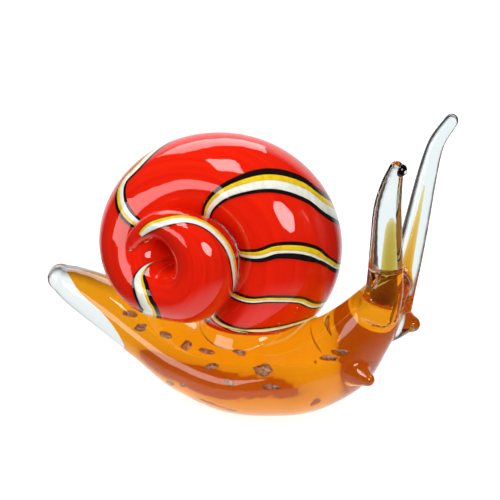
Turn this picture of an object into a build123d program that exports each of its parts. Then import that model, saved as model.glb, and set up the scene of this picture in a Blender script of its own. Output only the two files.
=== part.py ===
from build123d import *
import os
from math import atan2, cos, degrees, radians, sin, sqrt

# A solid glass snail, worked hot from several gathers. All sizes are in millimetres and degrees.
# +X is forward to the head, +Y is the snail's left, and the foot rests on z = 0.

# The body, from the tail to the head: x, z, half width, half height and clear glass under the amber
BODY = [
    (-89.0, 42.3, 5.8, 6.2, 5.0),
    (-84.0, 40.5, 7.6, 7.9, 6.0),
    (-75.0, 37.3, 9.8, 9.8, 9.0),
    (-61.0, 32.3, 13.5, 11.6, 8.6),
    (-43.0, 25.2, 18.5, 13.4, 6.0),
    (-22.0, 18.6, 25.5, 16.4, 3.4),
    (0.0, 15.8, 29.5, 17.8, 3.0),
    (21.0, 18.5, 27.5, 17.8, 3.0),
    (37.0, 26.5, 22.5, 17.0, 3.0),
    (48.0, 38.5, 16.5, 13.6, 3.0),
    (56.3, 51.0, 13.2, 10.0, 3.0),
    (61.2, 59.3, 10.0, 7.4, 3.0),
]
BODY_WALL = 2.4
CORE_FIRST_STATION = 2
CORE_TAIL_POINT = 5.0

# The tentacles, from the head to the tip: x, distance from the middle, z and radius
RIGHT_TENTACLE = [
    (58.0, 7.0, 49.0, 8.4),
    (61.6, 8.7, 62.0, 7.3),
    (62.3, 10.0, 76.0, 6.5),
    (63.2, 12.0, 93.0, 5.5),
    (65.4, 13.3, 104.5, 4.1),
    (67.3, 14.0, 110.8, 2.9),
]
LEFT_TENTACLE = [
    (59.5, 6.0, 49.0, 8.0),
    (63.4, 7.8, 62.0, 5.9),
    (67.2, 10.6, 84.0, 4.9),
    (70.0, 12.8, 102.0, 4.0),
    (72.8, 14.2, 114.4, 3.3),
    (78.4, 15.6, 124.0, 2.8),
]
# The amber drawn up in each tentacle: share of the tentacle's height, radius and how far forward it lies
RIGHT_CORE = [(0.0, 4.4, 0.0), (0.2, 2.2, 1.2), (0.68, 1.7, 1.5)]
LEFT_CORE = [(0.0, 4.2, 0.0), (0.2, 2.0, 0.0), (0.65, 0.5, 0.0)]

# The feelers, from inside the head to the tip: x, distance from the middle, z and radius
RIGHT_FEELER = [(46.5, 9.0, 27.6, 7.6), (52.6, 11.5, 25.0, 5.4), (56.8, 12.3, 23.6, 2.8)]
LEFT_FEELER = [(52.0, 7.0, 45.5, 9.4), (60.0, 9.8, 43.0, 6.4), (66.0, 11.3, 41.2, 2.7)]

# The eyes: radius of each bead, where it faces as parts forward, aside and up, how far it is set out as
# a share of the tip's radius, and its pupil's share of its radius
RIGHT_EYE_RADIUS, LEFT_EYE_RADIUS = 2.3, 1.9
RIGHT_EYE_FACING = (0.94, 0.24, -0.24)
LEFT_EYE_FACING = (0.39, 0.92, 0.08)
EYE_SEAT = 0.75
PUPIL_SHARE = 0.35

# The coil of the shell: turn angle, distance from its axis, tube radius, place along the axis and how far
# back the axis has moved
COIL = [
    (-80, 25.9, 21.3, -0.7, 0.0),
    (0, 25.9, 21.8, 0.3, 0.0),
    (90, 24.2, 20.3, 7.8, 0.0),
    (180, 30.0, 17.9, 21.5, 0.0),
    (270, 16.4, 12.4, 31.0, 3.0),
    (360, 15.6, 12.2, 32.0, 6.4),
    (430, 13.4, 7.6, 37.4, 6.4),
    (490, 12.5, 4.6, 40.3, 6.4),
    (540, 14.4, 2.8, 42.0, 6.4),
]
COIL_X, COIL_Y, COIL_Z = -11.2, 9.0, 68.2
COIL_YAW = 10.0
COIL_OVAL = 1.1
COIL_STEP = 10.0
TIP_ROUNDING = 24.0
# The leg bends back from the coil to its foot, which stands just over the middle of the body
LEG_BACK = 14.6
LEG_FOOT_RISE = 1.0
MIDDLE_STATION = 6
SHELL_WALL = 1.6

# The striped trail: turn angle along the coil, and angle round the tube from its outer side to the apex
TRAIL = [
    (-63, -45), (-65, 14), (-68, 38), (-71, 62), (-73, 90), (-67, 180), (-56, 270),
    (-48, 358), (-36, 393), (-34, 425), (-38, 458), (-34, 540), (-26, 630),
    (-16, 698), (2, 740), (8, 780), (4, 815), (4, 900), (10, 990),
    (23, 1061), (36, 1086), (47, 1110), (57, 1140), (67, 1168), (75, 1200), (90, 1290), (110, 1390),
    (130, 1467), (146, 1484), (153, 1503), (152, 1525), (159, 1585), (188, 1680), (222, 1770),
    (246, 1848), (240, 1877), (226, 1899), (209, 1917), (200, 1945), (212, 1990), (250, 2045), (305, 2100),
    (350, 2141), (378, 2154), (402, 2165), (418, 2184), (433, 2215), (450, 2237), (472, 2253), (492, 2266),
]
# The threads from front to back, and how wide each is at some of those points, counted from the start
THREADS = ["trail_black_front", "trail_white", "trail_yellow", "trail_black_back"]
THREAD_WIDTHS = [
    (0, 0.6, 1.2, 0.7, 0.9),
    (4, 0.6, 1.6, 0.7, 1.1),
    (8, 0.5, 0.8, 1.0, 1.1),
    (14, 1.5, 0.6, 1.4, 0.9),
    (17, 1.3, 1.6, 1.6, 1.4),
    (20, 1.2, 2.8, 2.0, 2.2),
    (23, 0.9, 2.2, 1.3, 1.4),
    (29, 0.8, 1.9, 1.2, 1.2),
    (34, 1.3, 3.6, 1.3, 1.7),
    (36, 1.2, 3.2, 1.1, 1.5),
    (38, 0.8, 1.8, 0.9, 0.9),
    (42, 0.6, 1.7, 1.1, 0.6),
    (47, 0.6, 1.7, 1.0, 0.6),
    (49, 0.5, 0.8, 0.6, 0.5),
]
THREAD_HEIGHT = 0.3
CLEAR_UNDER_THREAD = 0.28
CLEAR_OVER_THREAD = 0.17
THREAD_GAP = 0.3
TRAIL_BED = CLEAR_UNDER_THREAD + THREAD_HEIGHT + CLEAR_OVER_THREAD
TRAIL_STEP = 3.0
TRAIL_STRETCH = 40

# The clear collar that seals the leg of the coil on the body: height and flare at its rim, waist and foot
SEAL_RIM_HEIGHT, SEAL_RIM_FLARE = 2.5, 0.7
SEAL_WAIST_FLARE = 2.2
SEAL_FOOT_DEPTH, SEAL_FOOT_FLARE = 11.0, 4.5

FLAKE_COUNT = 18
FLAKE_SIZE = 2.6
FLAKE_THICKNESS = 0.4
FLAKE_DEPTH_SHARE = 0.74
FLAKE_SPREAD = 137.5

# How finely the lofts are cut into sections, and a block larger than the object for trimming it
ROUND_END = [0.45, 0.75, 0.92, 0.985]
QUARTER_SPANS = 4
CORE_SPANS = 5
REACH = 400.0

AXIS = Vector(-sin(radians(COIL_YAW)), -cos(radians(COIL_YAW)), 0)
FORWARD = Vector(cos(radians(COIL_YAW)), -sin(radians(COIL_YAW)), 0)
SIDEWAYS = Vector(0, 1, 0)
UP = Vector(0, 0, 1)


def smooth(stations, at):
    """Values at a place between stations, on curves through the stations that never overshoot them."""
    last = len(stations) - 1
    at = min(max(at, stations[0][0]), stations[last][0])
    low = max(i for i in range(last) if stations[i][0] <= at)

    def secant(i, column):
        return (stations[i + 1][column] - stations[i][column]) / (stations[i + 1][0] - stations[i][0])

    def slope(i, column):
        before = secant(max(i - 1, 0), column)
        after = secant(min(i, last - 1), column)
        return 2 * before * after / (before + after) if before * after > 0 else 0

    gap = stations[low + 1][0] - stations[low][0]
    t = (at - stations[low][0]) / gap
    values = []
    for column in range(1, len(stations[0])):
        start = stations[low][column] * (1 + 2 * t) * (1 - t) ** 2
        end = stations[low + 1][column] * t * t * (3 - 2 * t)
        bend = gap * (slope(low, column) * t * (1 - t) ** 2 + slope(low + 1, column) * t * t * (t - 1))
        values.append(start + end + bend)
    return values


def oval(centre, across, normal, half_across, half_other):
    """An oval section wire in quarters, so that each section of a loft lines up with the next."""
    plane = Plane(centre, x_dir=across, z_dir=normal)
    quarters = []
    for corner in (0, 90, 180, 270):
        points = []
        for part in range(QUARTER_SPANS + 1):
            angle = radians(corner + 90 * part / QUARTER_SPANS)
            points.append(plane.from_local_coords((half_across * cos(angle), half_other * sin(angle), 0)))
        tangents = []
        for angle in (radians(corner), radians(corner + 90)):
            tangents.append(plane.y_dir * (half_other * cos(angle)) - plane.x_dir * (half_across * sin(angle)))
        quarters.append(Edge.make_spline(points, tangents=tangents))
    return Wire(quarters)


def rounded_loft(centres, across, halves, round_start, round_end):
    """A loft through oval sections along a run of centres, with domed ends where they are asked for."""
    last = len(centres) - 1
    sections = []
    domes = []
    for i, centre in enumerate(centres):
        tangent = (centres[min(i + 1, last)] - centres[max(i - 1, 0)]).normalized()
        side = (across - tangent * across.dot(tangent)).normalized()
        sections.append(oval(centre, side, tangent, *halves[i]))
        domed = (i == 0 and round_start) or (i == last and round_end)
        if domed:
            outward = tangent if i == last else tangent * -1
            dome = [sections[-1]]
            for share in ROUND_END:
                shrink = sqrt(1 - share * share)
                place = centre + outward * (min(halves[i]) * share)
                dome.append(oval(place, side, tangent, halves[i][0] * shrink, halves[i][1] * shrink))
            domes.append(Solid.make_loft(dome))
    whole = Solid.make_loft(sections)
    for dome in domes:
        whole += dome
    return whole


def body_outer():
    """The outside of the body, with its foot ground flat."""
    centres = [Vector(x, 0, z) for x, z, _, _, _ in BODY]
    halves = [(width, height) for _, _, width, height, _ in BODY]
    whole = rounded_loft(centres, SIDEWAYS, halves, True, True)
    return whole & Pos(0, 0, REACH / 2) * Box(REACH, REACH, REACH)


def core_stations():
    """The amber inside the body: its sections, lifted and drawn in by the clear glass round them."""
    stations = []
    for x, z, width, height, under in BODY[CORE_FIRST_STATION:]:
        lift = (under - BODY_WALL) / 2
        stations.append((x, z + lift, width - BODY_WALL - lift, height - (under + BODY_WALL) / 2))
    return stations


def body_core():
    """The amber gather, pointed in the tail, that stops short of the foot and the top of the head."""
    stations = core_stations()
    first_x, first_z, _, _ = stations[0]
    next_x, next_z, _, _ = stations[1]
    run = Vector(next_x - first_x, 0, next_z - first_z).normalized()
    point = Vector(first_x, 0, first_z) - run * CORE_TAIL_POINT
    centres = [point] + [Vector(x, 0, z) for x, z, _, _ in stations[:-1]]
    tip = stations[0][3] / 4
    halves = [(tip, tip)] + [(width, height) for _, _, width, height in stations[:-1]]
    whole = rounded_loft(centres, SIDEWAYS, halves, True, True)
    return whole & Pos(0, 0, BODY_WALL + REACH / 2) * Box(REACH, REACH, REACH)


def pulled(stations, side):
    """A tapering pull of glass with a round tip, on the left (1) or the right (-1)."""
    centres = [Vector(x, side * aside, z) for x, aside, z, _ in stations]
    halves = [(radius, radius) for _, _, _, radius in stations]
    return rounded_loft(centres, SIDEWAYS, halves, False, True)


def tentacle_core(stations, side, core):
    """The amber drawn up inside a tentacle, tapering on its way up."""
    by_height = [(z, x, aside) for x, aside, z, _ in stations]
    bottom, tip = by_height[0][0], by_height[-1][0]
    centres = []
    halves = []
    for span in range(CORE_SPANS + 1):
        share = core[-1][0] * span / CORE_SPANS
        z = bottom + (tip - bottom) * share
        x, aside = smooth(by_height, z)
        radius, forward = smooth(core, share)
        centres.append(Vector(x + forward, side * aside, z))
        halves.append((radius, radius))
    return rounded_loft(centres, SIDEWAYS, halves, False, True)


def eye(stations, side, size, faces):
    """The whole bead and pupil of an eye, set on the side of a tentacle's round tip."""
    x, aside, z, radius = stations[-1]
    forward, outward, up = faces
    facing = Vector(forward, side * outward, up).normalized()
    middle = Vector(x, side * aside, z) + facing * (radius * EYE_SEAT)
    bead = Plane(middle, z_dir=facing) * Sphere(size)
    pupil = Plane(middle + facing * size, z_dir=facing) * Sphere(size * PUPIL_SHARE)
    return bead, pupil


def flakes():
    """Thin flakes of mica scattered round the amber, each lying along the nearest skin of the body."""
    stations = core_stations()
    first, last = stations[2][0], stations[-3][0]
    plates = []
    for i in range(FLAKE_COUNT):
        x = first + (last - first) * (i + 0.5) / FLAKE_COUNT
        z, width, height = smooth(stations, x)
        angle = radians(i * FLAKE_SPREAD)
        across, rise = FLAKE_DEPTH_SHARE * width * cos(angle), FLAKE_DEPTH_SHARE * height * sin(angle)
        facing = Vector(0, cos(angle) / width, sin(angle) / height).normalized()
        lie = Plane(Vector(x, across, z + rise), x_dir=Vector(1, 0, 0), z_dir=facing)
        plates.append(lie * extrude(RegularPolygon(FLAKE_SIZE, 5), FLAKE_THICKNESS))
    return plates


def coil_centre(turn):
    """The middle of the coil's tube and its outward direction. Below zero the tube is the leg."""
    reach, _, along, moved = smooth(COIL, turn)
    origin = Vector(COIL_X, COIL_Y, COIL_Z) + AXIS * along - FORWARD * moved
    if turn >= 0:
        outward = FORWARD * cos(radians(turn)) + UP * sin(radians(turn))
        return origin + outward * reach, outward
    _, middle_z, _, middle_height, _ = BODY[MIDDLE_STATION]
    depth = COIL_Z - middle_z - middle_height - LEG_FOOT_RISE
    bend_radius = (depth ** 2 + LEG_BACK ** 2) / (2 * LEG_BACK)
    swing = atan2(depth, bend_radius - LEG_BACK) * turn / COIL[0][0]
    back = bend_radius * (1 - cos(swing))
    return origin + FORWARD * (reach - back) - UP * (bend_radius * sin(swing)), FORWARD


def coil_end(inset):
    """The turn angle at which a layer of the coil ends, short of the tip by its inset."""
    return COIL[-1][0] - degrees(inset / COIL[-1][1])


def tube_radius(turn, inset):
    """The radius of a layer of the tube, rounded off at the tip."""
    past = (turn - coil_end(inset) + TIP_ROUNDING) / TIP_ROUNDING
    past = min(max(past, 0), 1)
    return (smooth(COIL, turn)[1] - inset) * sqrt(1 - past * past)


def coil(inset):
    """One layer of the coil, as a loft through oval sections from the foot of the leg to the tip."""
    start = COIL[0][0]
    straight_end = coil_end(inset) - TIP_ROUNDING
    count = round((straight_end - start) / COIL_STEP)
    turns = [start + (straight_end - start) * i / count for i in range(count + 1)]
    turns += [straight_end + TIP_ROUNDING * share for share in ROUND_END]
    sections = []
    for turn in turns:
        centre, outward = coil_centre(turn)
        radius = tube_radius(turn, inset)
        sections.append(oval(centre, outward, outward.cross(AXIS), radius, radius * COIL_OVAL))
    return Solid.make_loft(sections)


def on_tube(turn, side, radius):
    """A point of the coil's tube at an angle round it."""
    centre, outward = coil_centre(turn)
    across = outward * cos(radians(side))
    along = AXIS * (COIL_OVAL * sin(radians(side)))
    return centre + (across + along) * radius


def trail_point(place):
    """Turn angle and angle round the tube at a place along the trail, counted in its points."""
    i = min(int(place), len(TRAIL) - 2)
    t = place - i
    before, start, end, after = TRAIL[max(i - 1, 0)], TRAIL[i], TRAIL[i + 1], TRAIL[min(i + 2, len(TRAIL) - 1)]
    values = []
    for a, b, c, d in zip(before, start, end, after):
        curve = 2 * b + (c - a) * t + (2 * a - 5 * b + 4 * c - d) * t ** 2 + (3 * b - a - 3 * c + d) * t ** 3
        values.append(curve / 2)
    return values


def trail_places():
    """Places along the trail, counted in its points, that lie one step apart on the glass."""
    fine = 100
    places = [0]
    run = 0
    before = None
    for i in range((len(TRAIL) - 1) * fine + 1):
        turn, side = trail_point(i / fine)
        here = on_tube(turn, side, tube_radius(turn, SHELL_WALL))
        run += (here - before).length if before else 0
        before = here
        if run >= TRAIL_STEP:
            places.append(i / fine)
            run = 0
    places[-1] = len(TRAIL) - 1
    return places


def trail_section(place):
    """The two lower corners of each thread square across the trail, and the rise to the upper ones."""
    nearby = 0.02
    half_degree = 0.5
    turn, side = trail_point(place)
    turn_before, side_before = trail_point(max(place - nearby, 0))
    turn_after, side_after = trail_point(min(place + nearby, len(TRAIL) - 1))
    inset = SHELL_WALL + TRAIL_BED - CLEAR_UNDER_THREAD
    radius = tube_radius(turn, inset)
    turn_length = (coil_centre(turn + half_degree)[0] - coil_centre(turn - half_degree)[0]).length
    side_length = radians(1) * radius
    forward = (turn_after - turn_before) * turn_length
    around = (side_after - side_before) * side_length
    length = sqrt(forward ** 2 + around ** 2)
    widths = smooth(THREAD_WIDTHS, place)
    line = -sum(widths) / 2
    corners = []
    for width in widths:
        pair = []
        for offset in (line + THREAD_GAP / 2, line + width - THREAD_GAP / 2):
            at_turn = turn + offset * around / length / turn_length
            at_side = side - offset * forward / length / side_length
            pair.append(on_tube(at_turn, at_side, tube_radius(at_turn, inset)))
        corners.append(pair)
        line += width
    rise = on_tube(turn, side, radius + THREAD_HEIGHT) - on_tube(turn, side, radius)
    return corners, rise


def threads():
    """The threads of the trail in the bed between the red and the clear glass, lofted a stretch at a time."""
    rows = [trail_section(place) for place in trail_places()]
    solids = {}
    for i, name in enumerate(THREADS):
        stretches = []
        for first in range(0, len(rows) - 1, TRAIL_STRETCH):
            sections = []
            for corners, rise in rows[first:first + TRAIL_STRETCH + 1]:
                start, end = corners[i]
                sections.append(Wire.make_polygon([start, end, end + rise, start + rise], close=True))
            stretches.append(Solid.make_loft(sections))
        solids[name] = Compound(children=stretches)
    return solids


def seal():
    """The clear collar round the foot of the leg, flaring from a rim on the shell down to the body."""
    centre, outward = coil_centre(COIL[0][0])
    radius = COIL[0][2]
    levels = [
        (SEAL_RIM_HEIGHT, SEAL_RIM_FLARE),
        (0, SEAL_WAIST_FLARE),
        (-SEAL_FOOT_DEPTH, SEAL_FOOT_FLARE),
    ]
    sections = []
    for height, flare in levels:
        half = radius + flare
        sections.append(oval(centre + UP * height, outward, outward.cross(AXIS), half, half * COIL_OVAL))
    return Solid.make_loft(sections)


def build():
    """All the pieces, each cut by the ones that it is fused against."""
    parts = {}
    body = body_outer()
    amber = body_core()
    plates = flakes()
    casing = body - amber
    for name, side, stations, core_sizes, feeler, eye_radius, eye_facing in (
        ("right", -1, RIGHT_TENTACLE, RIGHT_CORE, RIGHT_FEELER, RIGHT_EYE_RADIUS, RIGHT_EYE_FACING),
        ("left", 1, LEFT_TENTACLE, LEFT_CORE, LEFT_FEELER, LEFT_EYE_RADIUS, LEFT_EYE_FACING),
    ):
        tentacle = pulled(stations, side)
        core = tentacle_core(stations, side, core_sizes) - amber
        bead, pupil = eye(stations, side, eye_radius, eye_facing)
        casing -= core
        parts[name + "_tentacle_core"] = core
        parts[name + "_tentacle_casing"] = tentacle - body - core
        parts[name + "_eye_bead"] = bead - tentacle
        parts[name + "_eye_pupil"] = pupil - bead
        parts[name + "_feeler"] = pulled(feeler, side) - body - tentacle
    parts["body_clear_casing"] = casing
    parts["body_amber_core"] = amber - plates
    parts["mica_flakes"] = Compound(children=plates)

    shell = coil(0) - body
    parts["shell_clear_casing"] = shell - coil(SHELL_WALL)
    parts["shell_red_core"] = coil(SHELL_WALL + TRAIL_BED) - body
    parts.update(threads())
    parts["shell_seal"] = seal() - body - shell
    return parts


os.makedirs("parts", exist_ok=True)
for node, solid in build().items():
    export_step(solid, "parts/" + node + ".step")
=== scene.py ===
from math import atan2, cos, degrees, pi, radians, sin, sqrt
from random import Random

import bmesh
import bpy
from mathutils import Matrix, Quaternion, Vector


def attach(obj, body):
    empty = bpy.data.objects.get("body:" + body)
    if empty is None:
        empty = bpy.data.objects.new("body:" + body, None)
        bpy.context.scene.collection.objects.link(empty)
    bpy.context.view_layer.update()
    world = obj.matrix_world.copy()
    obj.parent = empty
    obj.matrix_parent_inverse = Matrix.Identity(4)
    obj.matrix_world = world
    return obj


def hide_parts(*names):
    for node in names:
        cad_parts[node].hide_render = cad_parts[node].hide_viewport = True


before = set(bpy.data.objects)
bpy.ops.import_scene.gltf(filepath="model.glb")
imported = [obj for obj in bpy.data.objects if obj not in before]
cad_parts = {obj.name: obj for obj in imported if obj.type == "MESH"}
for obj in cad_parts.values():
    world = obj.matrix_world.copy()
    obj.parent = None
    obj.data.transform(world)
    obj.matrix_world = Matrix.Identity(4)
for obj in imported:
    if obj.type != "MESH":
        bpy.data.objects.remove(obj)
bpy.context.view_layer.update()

# Body: the clear gather that the snail is drawn from, with the tail, head, tentacles and feelers pulled
# out of it hot, and the collar that seals the shell on. Clear soda-lime glass, worked and fire-polished.
MM = 0.001
# x, z, half width, half height and clear glass under the amber, from the tail to the head
BODY = [
    (-89.0, 42.3, 5.8, 6.2, 5.0),
    (-84.0, 40.5, 7.6, 7.9, 6.0),
    (-75.0, 37.3, 9.8, 9.8, 9.0),
    (-61.0, 32.3, 13.5, 11.6, 8.6),
    (-43.0, 25.2, 18.5, 13.4, 6.0),
    (-22.0, 18.6, 25.5, 16.4, 3.4),
    (0.0, 15.8, 29.5, 17.8, 3.0),
    (21.0, 18.5, 27.5, 17.8, 3.0),
    (37.0, 26.5, 22.5, 17.0, 3.0),
    (48.0, 38.5, 16.5, 13.6, 3.0),
    (56.3, 51.0, 13.2, 10.0, 3.0),
    (61.2, 59.3, 10.0, 7.4, 3.0),
]
# z, x, distance from the middle and radius, from inside the head to the tip
RIGHT_TENTACLE = [
    (49.0, 58.0, 7.0, 8.4),
    (62.0, 61.6, 8.7, 7.3),
    (76.0, 62.3, 10.0, 6.5),
    (93.0, 63.2, 12.0, 5.5),
    (104.5, 65.4, 13.3, 4.1),
    (110.8, 67.3, 14.0, 2.9),
]
LEFT_TENTACLE = [
    (49.0, 59.5, 6.0, 8.0),
    (62.0, 63.4, 7.8, 5.9),
    (84.0, 67.2, 10.6, 4.9),
    (102.0, 70.0, 12.8, 4.0),
    (114.4, 72.8, 14.2, 3.3),
    (124.0, 78.4, 15.6, 2.8),
]
# x, z, distance from the middle and radius, from inside the head to the tip
RIGHT_FEELER = [(46.5, 27.6, 9.0, 7.6), (52.6, 25.0, 11.5, 5.4), (56.8, 23.6, 12.3, 2.8)]
LEFT_FEELER = [
    (50.0, 43.8, 6.0, 13.0),
    (58.0, 42.2, 9.4, 10.4),
    (62.6, 41.2, 10.8, 7.0),
    (66.0, 40.6, 11.3, 3.4),
]
RIGHT_SIDE, LEFT_SIDE = -1, 1
# x, y, z and radius of each small air bubble left in the glass
BUBBLES = [
    (36.5, -16.5, 29.0, 0.6), (15.0, -23.0, 15.0, 0.5), (6.5, -24.0, 11.5, 0.45),
    (58.5, -11.5, 56.5, 0.7), (22.0, -20.0, 21.0, 0.35), (-24.0, -19.0, 17.0, 0.4), (30.0, 14.0, 20.0, 0.5),
]
# height over the leg's foot and flare of the collar, from its foot to its rim
COLLAR = [(-11.0, 4.5), (-7.0, 4.1), (-3.0, 3.2), (0.0, 2.2), (2.5, 0.7)]
# size of the grains and passes of softening that run the gathers into each other
BODY_GRAIN, BODY_PASSES = 0.7, 6
BODY_RINGS, PULL_RINGS, RING_SIDES = 110, 40, 64
SIDEWAYS = Vector((0, 1, 0))
# how far out the rings of a round end lie, as shares of its radius
ROUND_END = [0.25, 0.45, 0.62, 0.75, 0.85, 0.92, 0.965, 0.985]


def between(stations, at):
    """Values at a place between stations, on curves through the stations that never overshoot them."""
    last = len(stations) - 1
    at = min(max(at, stations[0][0]), stations[last][0])
    low = max(i for i in range(last) if stations[i][0] <= at)

    def secant(i, column):
        return (stations[i + 1][column] - stations[i][column]) / (stations[i + 1][0] - stations[i][0])

    def slope(i, column):
        before = secant(max(i - 1, 0), column)
        after = secant(min(i, last - 1), column)
        return 2 * before * after / (before + after) if before * after > 0 else 0

    gap = stations[low + 1][0] - stations[low][0]
    t = (at - stations[low][0]) / gap
    values = []
    for column in range(1, len(stations[0])):
        start = stations[low][column] * (1 + 2 * t) * (1 - t) ** 2
        end = stations[low + 1][column] * t * t * (3 - 2 * t)
        bend = gap * (slope(low, column) * t * (1 - t) ** 2 + slope(low + 1, column) * t * t * (t - 1))
        values.append(start + end + bend)
    return values


def spread(first, last, count):
    """Evenly spaced values from the first to the last."""
    return [first + (last - first) * i / (count - 1) for i in range(count)]


def ring(centre, across, other, half_across, half_other):
    """The points of an oval section, in millimetres."""
    points = []
    for i in range(RING_SIDES):
        angle = 2 * pi * i / RING_SIDES
        points.append(centre + across * (half_across * cos(angle)) + other * (half_other * sin(angle)))
    return points


def drawn_rings(centres, halves, round_start, round_end):
    """Oval rings square to a run of centres, with round ends where they are asked for."""
    last = len(centres) - 1
    rings = []
    for i, centre in enumerate(centres):
        along = (centres[min(i + 1, last)] - centres[max(i - 1, 0)]).normalized()
        across = (SIDEWAYS - along * SIDEWAYS.dot(along)).normalized()
        other = along.cross(across)
        domed = (i == 0 and round_start) or (i == last and round_end)
        dome = []
        for share in ROUND_END if domed else []:
            shrink = sqrt(1 - share * share)
            out = along * (min(halves[i]) * share * (1 if i == last else -1))
            dome.append(ring(centre + out, across, other, halves[i][0] * shrink, halves[i][1] * shrink))
        middle = [ring(centre, across, other, *halves[i])]
        rings += dome[::-1] + middle if i == 0 else middle + dome
    return rings


def skin(rings):
    """A closed mesh over a run of rings, in metres."""
    bm = bmesh.new()
    rows = [[bm.verts.new(point * MM) for point in points] for points in rings]
    for low, high in zip(rows, rows[1:]):
        for i in range(len(low)):
            j = (i + 1) % len(low)
            bm.faces.new((low[i], low[j], high[j], high[i]))
    for row, points in ((rows[0], rings[0]), (rows[-1], rings[-1])):
        middle = bm.verts.new(sum(points, Vector()) / len(points) * MM)
        for i in range(len(row)):
            bm.faces.new((row[i], row[(i + 1) % len(row)], middle))
    bmesh.ops.recalc_face_normals(bm, faces=bm.faces)
    return bm


def piece(name, bm):
    """A named, smooth-shaded object made of a mesh under construction."""
    mesh = bpy.data.meshes.new(name)
    bm.to_mesh(mesh)
    bm.free()
    mesh.shade_smooth()
    obj = bpy.data.objects.new(name, mesh)
    bpy.context.scene.collection.objects.link(obj)
    return obj


def melted(name, solids, grain, passes):
    """Several overlapping solids run together into one skin, with the creases between them softened."""
    whole = bmesh.new()
    for bm in solids:
        part = bpy.data.meshes.new(name)
        bm.to_mesh(part)
        bm.free()
        whole.from_mesh(part)
        bpy.data.meshes.remove(part)
    obj = piece(name, whole)
    melt = obj.modifiers.new("melt", "REMESH")
    melt.mode = "VOXEL"
    melt.voxel_size = grain * MM
    soften = obj.modifiers.new("soften", "SMOOTH")
    soften.factor = 0.5
    soften.iterations = passes
    result = bpy.data.meshes.new_from_object(obj.evaluated_get(bpy.context.evaluated_depsgraph_get()))
    obj.modifiers.clear()
    first = obj.data
    obj.data = result
    bpy.data.meshes.remove(first)
    result.name = name
    result.shade_smooth()
    return obj


def pulled(stations, side, upright):
    """A tapering pull of glass with a round tip. Upright stations run by height, others by x."""
    centres = []
    halves = []
    for at in spread(stations[0][0], stations[-1][0], PULL_RINGS):
        other, aside, radius = between(stations, at)
        place = (other, side * aside, at) if upright else (at, side * aside, other)
        centres.append(Vector(place))
        halves.append((radius, radius))
    return skin(drawn_rings(centres, halves, False, True))


def foot_flattened(bm, level):
    """The underside pressed flat at a level."""
    for vert in bm.verts:
        vert.co.z = max(vert.co.z, level * MM)
    return bm


def body_skin():
    """The outside of the body from the tail to the head, with its foot ground flat."""
    centres = []
    halves = []
    for x in spread(BODY[0][0], BODY[-1][0], BODY_RINGS):
        z, width, height, _ = between(BODY, x)
        centres.append(Vector((x, 0, z)))
        halves.append((width, height))
    return foot_flattened(skin(drawn_rings(centres, halves, True, True)), 0)


# The coil of the shell: turn angle, distance from its axis, tube radius, place along the axis and how far
# back the axis has moved
COIL = [
    (-80, 25.9, 21.3, -0.7, 0.0),
    (0, 25.9, 21.8, 0.3, 0.0),
    (90, 24.2, 20.3, 7.8, 0.0),
    (180, 30.0, 17.9, 21.5, 0.0),
    (270, 16.4, 12.4, 31.0, 3.0),
    (360, 15.6, 12.2, 32.0, 6.4),
    (430, 13.4, 7.6, 37.4, 6.4),
    (490, 12.5, 4.6, 40.3, 6.4),
    (540, 14.4, 2.8, 42.0, 6.4),
]
COIL_ORIGIN = Vector((-11.2, 9.0, 68.2))
COIL_YAW = radians(10)
COIL_OVAL = 1.1
TIP_ROUNDING = 24.0
# the leg bends back from the coil to its foot, which stands just over the middle of the body
LEG_BACK = 14.6
LEG_FOOT_RISE = 1.0
MIDDLE_STATION = 6
AXIS = Vector((-sin(COIL_YAW), -cos(COIL_YAW), 0))
FORWARD = Vector((cos(COIL_YAW), -sin(COIL_YAW), 0))
UP = Vector((0, 0, 1))


def coil_centre(turn):
    """The middle of the coil's tube and its outward direction. Below zero the tube is the leg."""
    reach, _, along, moved = between(COIL, turn)
    origin = COIL_ORIGIN + AXIS * along - FORWARD * moved
    if turn >= 0:
        outward = FORWARD * cos(radians(turn)) + UP * sin(radians(turn))
        return origin + outward * reach, outward
    _, middle_z, _, middle_height, _ = BODY[MIDDLE_STATION]
    depth = COIL_ORIGIN.z - middle_z - middle_height - LEG_FOOT_RISE
    bend_radius = (depth ** 2 + LEG_BACK ** 2) / (2 * LEG_BACK)
    swing = atan2(depth, bend_radius - LEG_BACK) * turn / COIL[0][0]
    back = bend_radius * (1 - cos(swing))
    return origin + FORWARD * (reach - back) - UP * (bend_radius * sin(swing)), FORWARD


def coil_end(inset):
    """The turn angle at which a layer of the coil ends, short of the tip by its inset."""
    return COIL[-1][0] - degrees(inset / COIL[-1][1])


def tube_radius(turn, inset):
    """The radius of a layer of the tube, rounded off at the tip."""
    past = min(max((turn - coil_end(inset) + TIP_ROUNDING) / TIP_ROUNDING, 0), 1)
    return (between(COIL, turn)[1] - inset) * sqrt(1 - past * past)


def collar_skin():
    """The clear collar round the foot of the leg, flaring from a rim on the shell down to the body."""
    centre, outward = coil_centre(COIL[0][0])
    radius = COIL[0][2]
    rings = []
    for height, flare in COLLAR:
        half = radius + flare
        rings.append(ring(centre + UP * height, outward, AXIS, half, half * COIL_OVAL))
    return skin(rings)


def linear(code):
    """An sRGB hex colour as the linear values that a shader takes."""
    parts = [int(code[i:i + 2], 16) / 255 for i in (1, 3, 5)]
    return [p / 12.92 if p <= 0.04045 else ((p + 0.055) / 1.055) ** 2.4 for p in parts] + [1.0]


def finish_named(name):
    """An empty node material, and its output node."""
    material = bpy.data.materials.new(name)
    material.use_nodes = True
    tree = material.node_tree
    tree.nodes.clear()
    return material, tree, tree.nodes.new("ShaderNodeOutputMaterial")


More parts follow.
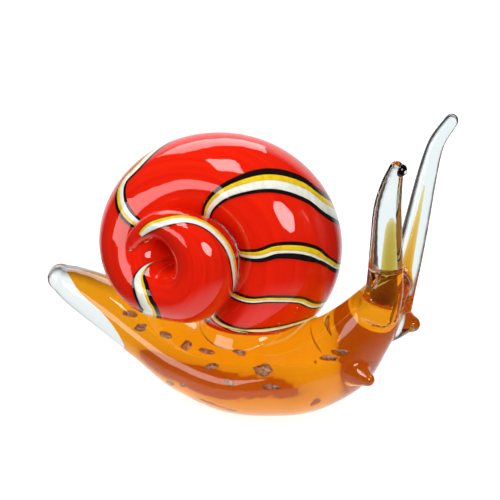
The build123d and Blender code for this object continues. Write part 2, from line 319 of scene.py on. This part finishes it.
def add(tree, kind, settings=None, **links):
    """Adds a node, with settings on it, and values or links for its inputs by name or by number, as i0."""
    node = tree.nodes.new("ShaderNode" + kind)
    for key, value in (settings or {}).items():
        setattr(node, key, value)
    for key, value in links.items():
        numbered = key[0] == "i" and key[1:].isdigit()
        socket = node.inputs[int(key[1:]) if numbered else key.replace("_", " ")]
        if isinstance(value, bpy.types.NodeSocket):
            tree.links.new(value, socket)
        else:
            socket.default_value = value
    return node


def glass_surface(tree, out, solid, tint):
    """Glass that lets lamps and stray light straight through to what is cased in it."""
    path = add(tree, "LightPath")
    lamp, stray = path.outputs["Is Shadow Ray"], path.outputs["Is Diffuse Ray"]
    through = add(tree, "Math", {"operation": "MAXIMUM"}, i0=lamp, i1=stray)
    clear = add(tree, "BsdfTransparent", Color=tint)
    mix = add(tree, "MixShader", i0=through.outputs[0], i1=solid.outputs[0], i2=clear.outputs[0])
    tree.links.new(mix.outputs[0], out.inputs["Surface"])


# Clear soda-lime glass: fire-polished, so mirror smooth, with the slow waves of hand-worked glass, about
# 14 mm from crest to crest, that bend what shows through it.
GLASS_IOR = 1.5
WAVE_LENGTH, WAVE_HEIGHT = 14 * MM, 0.3 * MM
clear_glass, tree, out = finish_named("clear fire-polished glass")
place = add(tree, "TexCoord")
waves = add(tree, "TexNoise", Vector=place.outputs["Object"], Scale=1 / WAVE_LENGTH, Detail=1.0)
dent = add(tree, "Bump", Strength=0.1, Distance=WAVE_HEIGHT, Height=waves.outputs[0])
body_of_glass = add(
    tree, "BsdfPrincipled", Base_Color=linear("#F4F8F8"), Roughness=0.0, IOR=GLASS_IOR,
    Transmission_Weight=1.0, Normal=dent.outputs[0],
)
glass_surface(tree, out, body_of_glass, linear("#F8FAFA"))

body_glass = melted(
    "body_clear_glass",
    [
        body_skin(),
        pulled(RIGHT_TENTACLE, RIGHT_SIDE, True),
        pulled(LEFT_TENTACLE, LEFT_SIDE, True),
        pulled(RIGHT_FEELER, RIGHT_SIDE, False),
        pulled(LEFT_FEELER, LEFT_SIDE, False),
        collar_skin(),
    ],
    BODY_GRAIN,
    BODY_PASSES,
)
glass_bm = bmesh.new()
glass_bm.from_mesh(body_glass.data)
foot_flattened(glass_bm, 0)
# a bubble is a hollow, so its wall faces inward
for x, y, z, radius in BUBBLES:
    bubble = bmesh.ops.create_icosphere(glass_bm, subdivisions=3, radius=radius * MM)
    for vert in bubble["verts"]:
        vert.co += Vector((x, y, z)) * MM
    walls = {face for vert in bubble["verts"] for face in vert.link_faces}
    bmesh.ops.reverse_faces(glass_bm, faces=list(walls))
glass_bm.to_mesh(body_glass.data)
glass_bm.free()
body_glass.data.materials.append(clear_glass)
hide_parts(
    "body_clear_casing", "right_tentacle_casing", "left_tentacle_casing",
    "right_feeler", "left_feeler", "shell_seal",
)
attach(body_glass, "root")

# Amber core: the coloured gather inside the clear one, pointed in the tail, and the two fingers of it that
# were drawn up with the tentacles. Transparent amber glass, fused to the clear with no surface between.
BODY_WALL = 2.4
CORE_FIRST_STATION = 2
CORE_TAIL_POINT = 10.0
CORE_TIP_SHARE = 1 / 6
CORE_RINGS, FINGER_RINGS = 90, 40
# share of the tentacle's height, radius and how far forward it lies
RIGHT_CORE = [(0.15, 3.4, 0.0), (0.25, 2.4, 0.8), (0.5, 1.9, 1.2), (0.62, 1.4, 1.3), (0.67, 0.6, 1.3)]
LEFT_CORE = [(0.13, 2.6, 0.0), (0.24, 1.5, 0.0), (0.45, 0.8, 0.0), (0.65, 0.25, 0.0)]


def amber_stations():
    """The amber inside the body: its sections, lifted and drawn in by the clear glass round them."""
    stations = []
    for x, z, width, height, under in BODY[CORE_FIRST_STATION:-1]:
        lift = (under - BODY_WALL) / 2
        stations.append((x, z + lift, width - BODY_WALL - lift, height - (under + BODY_WALL) / 2))
    return stations


def amber_skin():
    """The outside of the amber, drawn to a point in the tail and kept off the foot."""
    stations = amber_stations()
    first, second = stations[0], stations[1]
    run = Vector((second[0] - first[0], 0, second[1] - first[1])).normalized()
    point = Vector((first[0], 0, first[1])) - run * CORE_TAIL_POINT
    tip = first[3] * CORE_TIP_SHARE
    stations.insert(0, (point.x, point.z, tip, tip))
    centres = []
    halves = []
    for x in spread(stations[0][0], stations[-1][0], CORE_RINGS):
        z, width, height = between(stations, x)
        centres.append(Vector((x, 0, z)))
        halves.append((width, height))
    return foot_flattened(skin(drawn_rings(centres, halves, True, True)), BODY_WALL)


def finger_skin(stations, side, core):
    """The amber drawn up inside a tentacle, tapering on its way up."""
    bottom, tip = stations[0][0], stations[-1][0]
    centres = []
    halves = []
    for share in spread(core[0][0], core[-1][0], FINGER_RINGS):
        z = bottom + (tip - bottom) * share
        x, aside, _ = between(stations, z)
        radius, forward = between(core, share)
        centres.append(Vector((x + forward, side * aside, z)))
        halves.append((radius, radius))
    return skin(drawn_rings(centres, halves, True, True))


# Amber glass: it bends no light where it is fused to the clear glass. Its skin carries most of the colour,
# so thin and thick parts are alike, and its fine seed throws some light back. Light that meets the skin
# again, after bouncing round inside, is mostly scattered, and comes out brown.
SEED_STREAK = 20 * MM
SEED_PASSING_SHARE = 0.45
BOUNCED_SEED_SHARE = 0.85
# glass faces that straight light has crossed when it comes to the far side of the amber
STRAIGHT_FACES = 2


def amber_overlay(name, through, pale_seed, dark_seed, seed_share, depth_tint, per_metre):
    material, tree, out = finish_named(name)
    fused = add(
        tree, "BsdfPrincipled", Base_Color=linear(through), Roughness=0.0, IOR=1.0, Transmission_Weight=1.0,
    )
    place = add(tree, "TexCoord")
    streaks = add(tree, "TexNoise", Vector=place.outputs["Object"], Scale=1 / SEED_STREAK, Detail=2.0)
    tone = add(tree, "ValToRGB", Fac=streaks.outputs[0])
    tone.color_ramp.elements[0].position = 0.35
    tone.color_ramp.elements[0].color = linear(dark_seed)
    tone.color_ramp.elements[1].position = 0.65
    tone.color_ramp.elements[1].color = linear(pale_seed)
    path = add(tree, "LightPath")
    faces = path.outputs["Transmission Depth"]
    bounced = add(tree, "MapRange", Value=faces, From_Min=STRAIGHT_FACES, From_Max=STRAIGHT_FACES + 1)
    brown = add(tree, "MixRGB", Fac=bounced.outputs[0], Color1=tone.outputs[0], Color2=linear("#B8661C"))
    thrown = add(tree, "BsdfDiffuse", Color=brown.outputs[0])
    passed = add(tree, "BsdfTranslucent", Color=brown.outputs[0])
    seed = add(tree, "MixShader", i0=SEED_PASSING_SHARE, i1=thrown.outputs[0], i2=passed.outputs[0])
    share = add(tree, "MapRange", Value=bounced.outputs[0], To_Min=seed_share, To_Max=BOUNCED_SEED_SHARE)
    whole = add(tree, "MixShader", i0=share.outputs[0], i1=fused.outputs[0], i2=seed.outputs[0])
    glass_surface(tree, out, whole, linear("#F4EEE6"))
    depth = add(tree, "VolumeAbsorption", Color=linear(depth_tint), Density=per_metre)
    tree.links.new(depth.outputs[0], out.inputs["Volume"])
    return material


amber_glass = amber_overlay(
    "amber overlay glass", through="#FFAA18", pale_seed="#FFA60C", dark_seed="#F08A06", seed_share=0.14,
    depth_tint="#FDE010", per_metre=20.0,
)
# The thin amber in the tentacles: coloured by its depth, so that its edges are pale, olive on the right and
# yellow on the left.
olive_glass = amber_overlay(
    "thin olive amber glass", through="#FFF8E0", pale_seed="#E8B414", dark_seed="#C89A10", seed_share=0.03,
    depth_tint="#E8DC78", per_metre=700.0,
)
yellow_amber = amber_overlay(
    "thin yellow amber glass", through="#FFF8E0", pale_seed="#E8B414", dark_seed="#C89A10", seed_share=0.04,
    depth_tint="#F8DC2E", per_metre=1100.0,
)
amber_core = piece("body_amber", amber_skin())
right_finger = piece("right_tentacle_amber", finger_skin(RIGHT_TENTACLE, RIGHT_SIDE, RIGHT_CORE))
left_finger = piece("left_tentacle_amber", finger_skin(LEFT_TENTACLE, LEFT_SIDE, LEFT_CORE))
for obj, node, material in (
    (amber_core, "body_amber_core", amber_glass),
    (right_finger, "right_tentacle_core", olive_glass),
    (left_finger, "left_tentacle_core", yellow_amber),
):
    obj.data.materials.append(material)
    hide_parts(node)
    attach(obj, "root")

# Mica flakes: torn, crinkled leaves of mica that the amber gather was rolled over before the clear went on.
# They lie along the amber's skin. Muscovite, stained bronze by the heat.
# x, angle round the body from its left side, length and height
FLAKES = [
    (-49.5, 148, 9.0, 3.4), (-43.0, 158, 6.4, 3.8), (-30.5, 140, 7.0, 3.2), (-19.5, 140, 5.6, 5.4),
    (-10.0, 138, 9.0, 3.0), (-5.5, 154, 7.4, 3.0), (3.5, 170, 5.0, 2.8), (2.5, 218, 5.2, 2.4),
    (-14.0, 224, 5.8, 2.4), (-18.5, 200, 3.8, 2.0), (-25.5, 214, 5.0, 3.6), (17.0, 154, 9.4, 6.0),
    (21.0, 178, 8.8, 2.6), (6.5, 234, 5.0, 2.0), (42.5, 180, 8.4, 2.8), (46.0, 190, 9.0, 3.6),
    (4.0, 130, 8.0, 3.4), (-58.0, 94, 6.0, 2.6),
    (-34.0, 30, 7.0, 3.0), (-16.0, -20, 6.0, 3.2), (-4.0, 35, 8.0, 3.4), (12.0, -8, 5.0, 2.6),
    (26.0, 22, 7.6, 3.2), (38.0, -14, 5.4, 2.4),
]
FLAKE_DEPTH_SHARE = 1.03
FLAKE_CRINKLE, FLAKE_CROWN = 0.3, 0.5
FLAKE_SLANT = 0.35
FLAKE_EDGE = (0.35, 0.5)
FLAKE_CORNERS = 13
FLAKE_THICKNESS = 0.12
FLAKE_FOOT_GAP = 1.0
LENGTHWISE = Vector((1, 0, 0))
flake_bm = bmesh.new()
chance = Random(7)
core = amber_stations()
for x, around, length, height in FLAKES:
    z, half_width, half_height = between(core, x)
    angle = radians(around)
    rise = max(z + FLAKE_DEPTH_SHARE * half_height * sin(angle), BODY_WALL + FLAKE_FOOT_GAP)
    middle = Vector((x, FLAKE_DEPTH_SHARE * half_width * cos(angle), rise))
    facing = Vector((0, cos(angle) / half_width, sin(angle) / half_height)).normalized()
    long_way = LENGTHWISE + facing.cross(LENGTHWISE) * chance.uniform(-FLAKE_SLANT, FLAKE_SLANT)
    short_way = facing.cross(long_way)
    hub = flake_bm.verts.new((middle + facing * FLAKE_CRINKLE * FLAKE_CROWN) * MM)
    rim = []
    for corner in range(FLAKE_CORNERS):
        turn = 2 * pi * corner / FLAKE_CORNERS
        out_to = chance.uniform(*FLAKE_EDGE)
        lift = facing * (FLAKE_CRINKLE * chance.uniform(-1, 1))
        reach = long_way * (length * out_to * cos(turn)) + short_way * (height * out_to * sin(turn))
        rim.append(flake_bm.verts.new((middle + reach + lift) * MM))
    for corner in range(FLAKE_CORNERS):
        flake_bm.faces.new((hub, rim[corner], rim[(corner + 1) % FLAKE_CORNERS]))
flakes = piece("mica_flakes_torn", flake_bm)
thick = flakes.modifiers.new("leaf", "SOLIDIFY")
thick.thickness = FLAKE_THICKNESS * MM

# Mica: bronze leaves with a fine crinkle about 1 mm across, that let some of the amber light through and
# glint where they face a lamp.
MICA_GRAIN, MICA_RELIEF = 1.1 * MM, 0.3 * MM
TORN_SHARE = 0.45
mica, tree, out = finish_named("muscovite mica leaf")
place = add(tree, "TexCoord")
grain = add(tree, "TexNoise", Vector=place.outputs["Object"], Scale=1 / MICA_GRAIN, Detail=4.0)
tone = add(tree, "ValToRGB", Fac=grain.outputs[0])
tone.color_ramp.elements[0].position = 0.3
tone.color_ramp.elements[0].color = linear("#5A3A22")
tone.color_ramp.elements[1].position = 0.75
tone.color_ramp.elements[1].color = linear("#D8B896")
crinkle = add(tree, "Bump", Strength=0.8, Distance=MICA_RELIEF, Height=grain.outputs[0])
leaf = add(
    tree, "BsdfPrincipled", Base_Color=tone.outputs[0], Roughness=0.3, Metallic=0.3,
    Normal=crinkle.outputs[0],
)
gap = add(tree, "BsdfTransparent", Color=linear("#F0B878"))
torn = add(tree, "MixShader", i0=TORN_SHARE, i1=leaf.outputs[0], i2=gap.outputs[0])
tree.links.new(torn.outputs[0], out.inputs["Surface"])
flakes.data.materials.append(mica)
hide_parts("mica_flakes")
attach(flakes, "root")

# Shell: an opaque red gather coiled hot round itself, standing on the thick end of the coil.
# Opaque selenium red glass over a pale core, which shows only at the cut end under the leg.
SHELL_WALL = 1.6
TRAIL_BED = 0.75
COIL_STEP = 3.0


def coil_skin(inset):
    """One layer of the coil from the foot of the leg to the tip, with where each point lies kept on it."""
    start, straight_end = COIL[0][0], coil_end(inset) - TIP_ROUNDING
    turns = spread(start, straight_end, round((straight_end - start) / COIL_STEP))
    turns += [straight_end + TIP_ROUNDING * share for share in ROUND_END]
    rings = []
    for turn in turns:
        centre, outward = coil_centre(turn)
        radius = tube_radius(turn, inset)
        rings.append(ring(centre, outward, AXIS, radius, radius * COIL_OVAL))
    bm = skin(rings)
    lie = bm.verts.layers.float_vector.new("along_coil")
    bm.verts.ensure_lookup_table()
    sides = len(rings[0])
    for i, turn in enumerate(turns):
        for j in range(sides):
            angle = 2 * pi * j / sides
            bm.verts[i * sides + j][lie] = (cos(angle), sin(angle), turn / 360)
    cut_end = len(turns) * sides
    bm.verts[cut_end][lie] = (0, 0, start / 360 - 1)
    bm.verts[cut_end + 1][lie] = (0, 0, turns[-1] / 360)
    return bm


# Red glass: a brilliant scarlet with faint darker streaks drawn out along the coil. It has no gloss of its
# own, as the clear casing over it reflects. Where it shows through three or more glass faces, as it does
# through the amber, it is toned to amber-brown.
STREAK_STRETCH = (6.0, 6.0, 3.0)
# parts of a turn between which the pale cut end gives way to red
LEG_CUT, LEG_CUT_END = -0.24, -0.224
red_glass, tree, out = finish_named("opaque red glass")
lie = add(tree, "Attribute", {"attribute_name": "along_coil"})
stretch = add(tree, "Mapping", Vector=lie.outputs["Vector"], Scale=STREAK_STRETCH)
streaks = add(tree, "TexNoise", Vector=stretch.outputs[0], Scale=1.6, Detail=3.0)
tone = add(tree, "ValToRGB", Fac=streaks.outputs[0])
tone.color_ramp.elements[0].position = 0.3
tone.color_ramp.elements[0].color = linear("#F01A05")
tone.color_ramp.elements[1].position = 0.7
tone.color_ramp.elements[1].color = linear("#FA2607")
turns_along = add(tree, "SeparateXYZ", Vector=lie.outputs["Vector"])
cut = add(tree, "MapRange", Value=turns_along.outputs["Z"], From_Min=LEG_CUT, From_Max=LEG_CUT_END)
cased = add(tree, "MixRGB", Fac=cut.outputs[0], Color1=linear("#FFD890"), Color2=tone.outputs[0])
path = add(tree, "LightPath")
faces = path.outputs["Transmission Depth"]
deep = add(tree, "Math", {"operation": "GREATER_THAN"}, i0=faces, i1=STRAIGHT_FACES + 0.5)
toned = add(tree, "MixRGB", Fac=deep.outputs[0], Color1=cased.outputs[0], Color2=linear("#E8942A"))
red = add(tree, "BsdfPrincipled", Base_Color=toned.outputs[0], Roughness=0.5, Specular_IOR_Level=0.0)
tree.links.new(red.outputs[0], out.inputs["Surface"])

shell_red = piece("shell_red", coil_skin(SHELL_WALL + TRAIL_BED))
shell_red.data.materials.append(red_glass)
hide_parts("shell_red_core")
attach(shell_red, "root")

# Trail: a striped cane of black, white, yellow and black glass, softened and wound round the red coil
# before the clear went on. Each thread lies beside the next.
# turn angle along the coil, and angle round the tube from its outer side to the apex
TRAIL = [
    (-63, -45), (-65, 14), (-68, 38), (-71, 62), (-73, 90), (-67, 180), (-56, 270),
    (-48, 358), (-36, 393), (-34, 425), (-38, 458), (-34, 540), (-26, 630),
    (-16, 698), (2, 740), (8, 780), (4, 815), (4, 900), (10, 990),
    (23, 1061), (36, 1086), (47, 1110), (57, 1140), (67, 1168), (75, 1200), (90, 1290), (110, 1390),
    (130, 1467), (145, 1483), (150.5, 1503), (154, 1527), (161, 1585), (188, 1680), (222, 1770),
    (246, 1848), (240, 1877), (226, 1899), (209, 1917), (200, 1945), (212, 1990), (250, 2045), (305, 2100),
    (350, 2141), (378, 2154), (402, 2165), (418, 2184), (433, 2215), (450, 2237), (472, 2253), (492, 2266),
]
# how wide the black, white, yellow and black threads are at some of those points, counted from the start:
# hair-thin from 38 to 40.5, where the cane turns back out of sight in the pit of the apex
THREAD_WIDTHS = [
    (0, 0.6, 1.2, 0.7, 0.9),
    (4, 0.6, 1.6, 0.7, 1.1),
    (8, 0.5, 0.8, 1.0, 1.1),
    (14, 1.5, 0.6, 1.4, 0.9),
    (17, 1.3, 1.6, 1.6, 1.4),
    (20, 1.2, 2.8, 2.0, 2.2),
    (23, 0.9, 2.2, 1.3, 1.4),
    (29, 0.8, 1.9, 1.2, 1.2),
    (34, 1.3, 3.6, 1.3, 1.7),
    (36, 1.2, 3.2, 1.1, 1.5),
    (37.4, 0.5, 1.4, 0.5, 0.5),
    (38, 0.02, 0.02, 0.02, 0.02),
    (40.5, 0.02, 0.02, 0.02, 0.02),
    (42, 0.3, 2.0, 1.4, 0.3),
    (47, 0.3, 2.0, 1.2, 0.3),
    (49, 0.3, 0.9, 0.6, 0.3),
]
# how deep the threads' tops lie, how far they sink into the red, and how finely the trail is cut
THREAD_TOP = 1.8
THREAD_SINK = 0.1
TRAIL_STEPS = 16
THREAD_SPANS = 5


def on_tube(turn, side, radius):
    """A point of the coil's tube at an angle round it."""
    centre, outward = coil_centre(turn)
    return centre + (outward * cos(radians(side)) + AXIS * (COIL_OVAL * sin(radians(side)))) * radius


def trail_point(place):
    """Turn angle and angle round the tube at a place along the trail, counted in its points."""
    i = min(int(place), len(TRAIL) - 2)
    t = place - i
    before, after = TRAIL[max(i - 1, 0)], TRAIL[min(i + 2, len(TRAIL) - 1)]
    values = []
    for a, b, c, d in zip(before, TRAIL[i], TRAIL[i + 1], after):
        curve = 2 * b + (c - a) * t + (2 * a - 5 * b + 4 * c - d) * t ** 2 + (3 * b - a - 3 * c + d) * t ** 3
        values.append(curve / 2)
    return values


def thread_section(place, number):
    """A closed section of one thread, square across the trail."""
    nearby = 0.02
    half_degree = 0.5
    turn, side = trail_point(place)
    turn_before, side_before = trail_point(max(place - nearby, 0))
    turn_after, side_after = trail_point(min(place + nearby, len(TRAIL) - 1))
    turn_length = (coil_centre(turn + half_degree)[0] - coil_centre(turn - half_degree)[0]).length
    side_length = radians(1) * tube_radius(turn, THREAD_TOP)
    forward = (turn_after - turn_before) * turn_length
    around = (side_after - side_before) * side_length
    length = sqrt(forward ** 2 + around ** 2)
    widths = between(THREAD_WIDTHS, place)
    edge = sum(widths[:number]) - sum(widths) / 2
    bottom = []
    top = []
    for offset in spread(edge, edge + widths[number], THREAD_SPANS):
        at_turn = turn + offset * around / length / turn_length
        at_side = side - offset * forward / length / side_length
        sunk = SHELL_WALL + TRAIL_BED + THREAD_SINK
        bottom.append(on_tube(at_turn, at_side, tube_radius(at_turn, sunk)))
        top.append(on_tube(at_turn, at_side, tube_radius(at_turn, THREAD_TOP)))
    return bottom + top[::-1]


# Cane glass: flat, opaque colour under the gloss of the casing, with cloudy streaks about 2.5 mm across.
CANE_STREAK = 2.5 * MM


def cane_glass(name, code, streak_code):
    material, tree, out = finish_named(name)
    place = add(tree, "TexCoord")
    grain = add(tree, "TexNoise", Vector=place.outputs["Object"], Scale=1 / CANE_STREAK, Detail=2.0)
    tone = add(tree, "ValToRGB", Fac=grain.outputs[0])
    tone.color_ramp.elements[0].position = 0.3
    tone.color_ramp.elements[0].color = linear(streak_code)
    tone.color_ramp.elements[1].position = 0.6
    tone.color_ramp.elements[1].color = linear(code)
    solid = add(tree, "BsdfPrincipled", Base_Color=tone.outputs[0], Roughness=0.4, Specular_IOR_Level=0.0)
    tree.links.new(solid.outputs[0], out.inputs["Surface"])
    return material


black_glass = cane_glass("opaque black glass", "#120B0C", "#241012")
white_glass = cane_glass("opaque white glass", "#FFFDF4", "#F4EEDC")
yellow_glass = cane_glass("opaque yellow glass", "#FFD420", "#F2BC18")
places = spread(0, len(TRAIL) - 1, (len(TRAIL) - 1) * TRAIL_STEPS + 1)
for number, (node, material, slot) in enumerate((
    ("trail_black_front", black_glass, "black_glass"),
    ("trail_white", white_glass, "white_glass"),
    ("trail_yellow", yellow_glass, "yellow_glass"),
    ("trail_black_back", black_glass, "black_glass"),
)):
    thread = piece(node + "_thread", skin([thread_section(place, number) for place in places]))
    thread.data.materials.append(material)
    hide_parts(node)
    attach(thread, "root")

# Shell casing: the clear gather over the striped coil, run together where one whorl lies on the next.
# Clear soda-lime glass, fire-polished.
SHELL_GRAIN, SHELL_PASSES = 0.6, 4
shell_glass = melted("shell_clear_glass", [coil_skin(0)], SHELL_GRAIN, SHELL_PASSES)
shell_glass.data.materials.append(clear_glass)
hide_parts("shell_clear_casing")
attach(shell_glass, "root")

# Eyes: a drop of black glass on each tentacle's tip, facing forward on the right and out to the side on the
# left, with a dot of white on it. Opaque glass, fire-polished to a high gloss.
# radius, height as a share of it, and where it faces as parts forward, aside and up
RIGHT_EYE = (2.5, 0.9, (0.94, 0.24, -0.24))
LEFT_EYE = (1.3, 0.5, (0.39, 0.92, 0.08))
# where a drop sits on the tip's radius, and how much of its back is flattened away
EYE_SEAT, DROP_BACK = 0.75, 0.85
# the white dot's radius as a share of the drop's, its height as a share of its radius, and how far it sinks
PUPIL_SHARE, PUPIL_HEIGHT, PUPIL_SINK = 0.35, 0.7, 0.15


def drop(centre, facing, radius, height):
    """A drop that settled on its seat: flat behind, and domed to a share of its radius in front."""
    bm = bmesh.new()
    bmesh.ops.create_icosphere(bm, subdivisions=4, radius=radius * MM)
    for vert in bm.verts:
        along = vert.co.dot(facing)
        vert.co -= facing * (along * (DROP_BACK if along < 0 else 1 - height))
        vert.co += centre * MM
    return bm


# Polished opaque glass: sharp highlights on an even colour, clouded a little at about 1.5 mm.
CLOUD = 1.5 * MM


def glossy(name, code):
    material, tree, out = finish_named(name)
    place = add(tree, "TexCoord")
    grain = add(tree, "TexNoise", Vector=place.outputs["Object"], Scale=1 / CLOUD)
    tone = add(
        tree, "MixRGB", {"blend_type": "MULTIPLY"}, Fac=0.15, Color1=linear(code), Color2=grain.outputs[1],
    )
    solid = add(tree, "BsdfPrincipled", Base_Color=tone.outputs[0], Roughness=0.05, IOR=GLASS_IOR)
    tree.links.new(solid.outputs[0], out.inputs["Surface"])
    return material


black_bead = glossy("fire-polished black glass", "#0A0708")
white_dot = glossy("fire-polished white glass", "#F4F2EC")
for name, stations, side, (size, height, faces) in (
    ("right", RIGHT_TENTACLE, RIGHT_SIDE, RIGHT_EYE),
    ("left", LEFT_TENTACLE, LEFT_SIDE, LEFT_EYE),
):
    z, x, aside, radius = stations[-1]
    facing = Vector((faces[0], side * faces[1], faces[2])).normalized()
    middle = Vector((x, side * aside, z)) + facing * (radius * EYE_SEAT)
    bead = piece(name + "_eye_black", drop(middle, facing, size, height))
    front = middle + facing * (size * height - PUPIL_SINK)
    dot = piece(name + "_eye_white", drop(front, facing, size * PUPIL_SHARE, PUPIL_HEIGHT))
    for obj, node, material, slot in (
        (bead, name + "_eye_bead", black_bead, "black_glass"),
        (dot, name + "_eye_pupil", white_dot, "white_glass"),
    ):
        obj.data.materials.append(material)
        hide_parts(node)
        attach(obj, "root")

# Studio: a sheet of white paper under the snail that fades into a white surround, a pale wall behind it, a
# dark room to the sides and in front, which draws the edges of the clear glass, and four softboxes.
PAPER_REACH = 0.13
PAPER_LEVEL = -0.0004
PAPER_FADE = 0.65
VIEW_TURN, VIEW_LIFT = radians(25), radians(17)
floor_bm = bmesh.new()
corners = []
for across, along in ((-1, -1), (1, -1), (1, 1), (-1, 1)):
    x = PAPER_REACH * (across * cos(VIEW_TURN) - along * sin(VIEW_TURN))
    y = PAPER_REACH * (across * sin(VIEW_TURN) + along * cos(VIEW_TURN))
    corners.append(floor_bm.verts.new((x, y, PAPER_LEVEL)))
floor_bm.faces.new(corners)
floor = piece("floor", floor_bm)
# Paper: matt, and bright a little of itself, so that only a faint shadow shows on its white.
paper, tree, out = finish_named("white paper sweep")
sheet = add(
    tree, "BsdfPrincipled", Base_Color=linear("#BCBCBC"), Roughness=0.7, Specular_IOR_Level=0.1,
    Emission_Color=linear("#FFFFFF"), Emission_Strength=0.5,
)
place = add(tree, "TexCoord")
spot = add(tree, "Mapping", Vector=place.outputs["Object"], Scale=(1 / PAPER_REACH, 1 / PAPER_REACH, 1))
round_fade = add(tree, "TexGradient", {"gradient_type": "SPHERICAL"}, Vector=spot.outputs[0])
edge = add(
    tree, "MapRange", {"interpolation_type": "SMOOTHSTEP"}, Value=round_fade.outputs[1], From_Max=PAPER_FADE,
)
nothing = add(tree, "BsdfTransparent")
faded = add(tree, "MixShader", i0=edge.outputs[0], i1=nothing.outputs[0], i2=sheet.outputs[0])
tree.links.new(faded.outputs[0], out.inputs["Surface"])
floor.data.materials.append(paper)

# The room: the camera sees plain white. The glass sees a pale wall straight behind the snail, which fades
# to near-black about 37 to 53 degrees away from there. Light levels, where white paper in full light is 1.
WALL_LEVEL, ROOM_LEVEL = (0.7, 0.74, 0.75, 1), (0.04, 0.04, 0.04, 1)
WALL_EDGE, WALL_FADE_END = 0.8, 0.6
world = bpy.data.worlds.new("white wall in a dark room")
bpy.context.scene.world = world
world.use_nodes = True
tree = world.node_tree
tree.nodes.clear()
sky = add(tree, "OutputWorld")
direction = add(tree, "TexCoord")
behind = (-sin(VIEW_TURN), cos(VIEW_TURN), 0.1)
split = add(tree, "VectorMath", {"operation": "DOT_PRODUCT"}, i0=direction.outputs["Generated"], i1=behind)
bright = add(tree, "ValToRGB", Fac=split.outputs["Value"])
bright.color_ramp.elements[0].position = WALL_FADE_END
bright.color_ramp.elements[0].color = ROOM_LEVEL
bright.color_ramp.elements[1].position = WALL_EDGE
bright.color_ramp.elements[1].color = WALL_LEVEL
path = add(tree, "LightPath")
straight = path.outputs["Is Camera Ray"]
seen = add(tree, "MixRGB", Fac=straight, Color1=bright.outputs[0], Color2=linear("#FFFFFF"))
glow = add(tree, "Background", Color=seen.outputs[0], Strength=1.05)
tree.links.new(glow.outputs[0], sky.inputs["Surface"])

# The lamps: cloth-fronted softboxes round the middle of the snail
LAMP_AIM = Vector((0, 0, 0.06))


def softbox(name, azimuth, elevation, distance, width, height, brightness, shape, twist):
    """A lamp that faces the snail. Brightness is that of its cloth, where white paper in full light is 1."""
    turn, lift = radians(azimuth), radians(elevation)
    toward = Vector((sin(turn) * cos(lift), -cos(turn) * cos(lift), sin(lift)))
    lamp = bpy.data.lights.new(name, "AREA")
    lamp.shape = shape
    lamp.size = width
    lamp.size_y = height
    area = width * height * (pi / 4 if shape == "DISK" else 1)
    lamp.energy = brightness * pi * area
    obj = bpy.data.objects.new(name, lamp)
    obj.location = toward * distance + LAMP_AIM
    facing = toward.to_track_quat("Z", "Y")
    facing.rotate(Quaternion(toward, radians(twist)))
    obj.rotation_euler = facing.to_euler()
    bpy.context.scene.collection.objects.link(obj)


softbox("overhead_panel", -140, 52, 1.0, 1.0, 0.4, 3.0, "RECTANGLE", 0)
softbox("square_box", -20, 64, 0.9, 0.36, 0.36, 6.5, "SQUARE", 45)
softbox("octagon_box", 50, 22, 0.8, 0.4, 0.4, 7.5, "DISK", 0)
softbox("left_wide_box", -36, 10, 0.8, 0.6, 0.28, 3.2, "RECTANGLE", 0)

# The camera: a long lens, at the photograph's angle
DISTANCE = 0.757
aim = Vector((0, 0, 0.066))
away = Vector((sin(VIEW_TURN) * cos(VIEW_LIFT), -cos(VIEW_TURN) * cos(VIEW_LIFT), sin(VIEW_LIFT)))
lens = bpy.data.cameras.new("camera")
lens.lens = 135
lens.sensor_width = 36
lens.clip_start = 0.01
camera = bpy.data.objects.new("camera", lens)
camera.location = aim + away * DISTANCE
camera.rotation_euler = away.to_track_quat("Z", "Y").to_euler()
bpy.context.scene.collection.objects.link(camera)
bpy.context.scene.camera = camera

view = bpy.context.scene.view_settings
view.view_transform = "Standard"
view.exposure = 0.45
cycles = bpy.context.scene.cycles
cycles.max_bounces = 24
cycles.transmission_bounces = 20
cycles.transparent_max_bounces = 24
cycles.use_denoising = True
